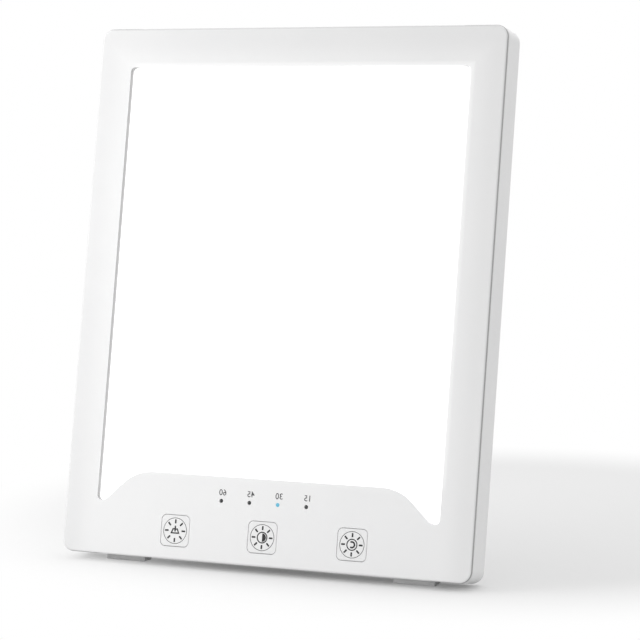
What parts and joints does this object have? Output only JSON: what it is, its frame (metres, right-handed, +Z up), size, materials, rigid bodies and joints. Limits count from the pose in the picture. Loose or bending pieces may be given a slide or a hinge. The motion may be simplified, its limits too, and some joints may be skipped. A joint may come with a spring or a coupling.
{
  "type": "light therapy lamp",
  "caption": "Tablet-shaped light therapy lamp: flat bezel with a humped lower border, glowing diffuser, push keys and a folding, swivelling stand.",
  "frame": {"origin": "bottom centre of the lamp's bounding box, at the table, with the lamp upright on its open stand", "axes": "+Z up, +Y from the glowing front towards the stand, +X to the right seen from the front"},
  "size_m": [0.203, 0.0678, 0.2458],
  "materials": {
    "white_bezel": "fine satin moulded ABS",
    "white_shell": "fine satin moulded ABS",
    "white_stand": "fine satin moulded ABS",
    "white_key": "satin, icon printed in dark grey",
    "diffuser": "milky acrylic, glowing",
    "reflector": "matt white",
    "led_board": "white solder mask",
    "circuit_board": "green solder mask",
    "led_chip": "phosphor dome",
    "steel": "zinc plated",
    "pin_metal": "plated pin",
    "black_plastic": "black nylon",
    "connector": "natural nylon",
    "red_lead": "PVC insulation",
    "black_lead": "PVC insulation",
    "clear_pipe": "smoky clear, unlit",
    "lit_pipe": "lit blue",
    "foot_rubber": "grey silicone rubber"
  },
  "bodies": {
    "lamp": {"front_bezel": "white_bezel", "rear_shell": "white_shell", "diffuser_panel": "diffuser", "reflector_frame": "reflector", "reflector_sheet": "reflector", "led_board": "led_board", "led_chips": "led_chip", "led_board_screws": "steel", "key_switch_power": "black_plastic", "key_switch_brightness": "black_plastic", "key_switch_timer": "black_plastic", "light_pipe_60": "clear_pipe", "light_pipe_45": "clear_pipe", "light_pipe_30": "lit_pipe", "light_pipe_15": "clear_pipe", "indicator_leds": "led_chip", "control_board": "circuit_board", "control_board_screws": "steel", "driver_components": "black_plastic", "dc_jack": "black_plastic", "dc_jack_pin": "pin_metal", "power_connector": "connector", "power_lead_red": "red_lead", "power_lead_black": "black_lead", "driver_connector": "connector", "led_connector": "connector", "led_lead_red": "red_lead", "led_lead_black": "black_lead", "housing_screws": "steel", "bottom_foot_left": "foot_rubber", "bottom_foot_right": "foot_rubber"},
    "swivel": {"swivel_disc": "white_stand", "hub_retainer": "steel", "wave_washer": "steel", "retainer_screws": "steel", "hinge_pin": "steel"},
    "leg": {"stand_leg": "white_stand", "leg_foot": "foot_rubber"},
    "power_key": {"key_cap_power": "white_key", "key_plunger_power": "black_plastic"},
    "brightness_key": {"key_cap_brightness": "white_key", "key_plunger_brightness": "black_plastic"},
    "timer_key": {"key_cap_timer": "white_key", "key_plunger_timer": "black_plastic"}
  },
  "joints": [
    {"name": "stand_swivel", "type": "hinge", "parent": "lamp", "child": "swivel", "pos_m": [0, 0.00372, 0.10015], "axis": [0, 0.984, -0.1779], "range_deg": [0, 90]},
    {"name": "leg_fold", "type": "hinge", "parent": "swivel", "child": "leg", "pos_m": [0, 0.01063, 0.11923], "axis": [1, 0, 0], "range_deg": [-21, 0]},
    {"name": "power_press", "type": "slide", "parent": "lamp", "child": "power_key", "axis": [0, 0.984, -0.1779], "range_m": [0, 0.0005], "stiffness_N_per_m": 2000, "springref_m": -0.0003},
    {"name": "brightness_press", "type": "slide", "parent": "lamp", "child": "brightness_key", "axis": [0, 0.984, -0.1779], "range_m": [0, 0.0005], "stiffness_N_per_m": 2000, "springref_m": -0.0003},
    {"name": "timer_press", "type": "slide", "parent": "lamp", "child": "timer_key", "axis": [0, 0.984, -0.1779], "range_m": [0, 0.0005], "stiffness_N_per_m": 2000, "springref_m": -0.0003}
  ]
}
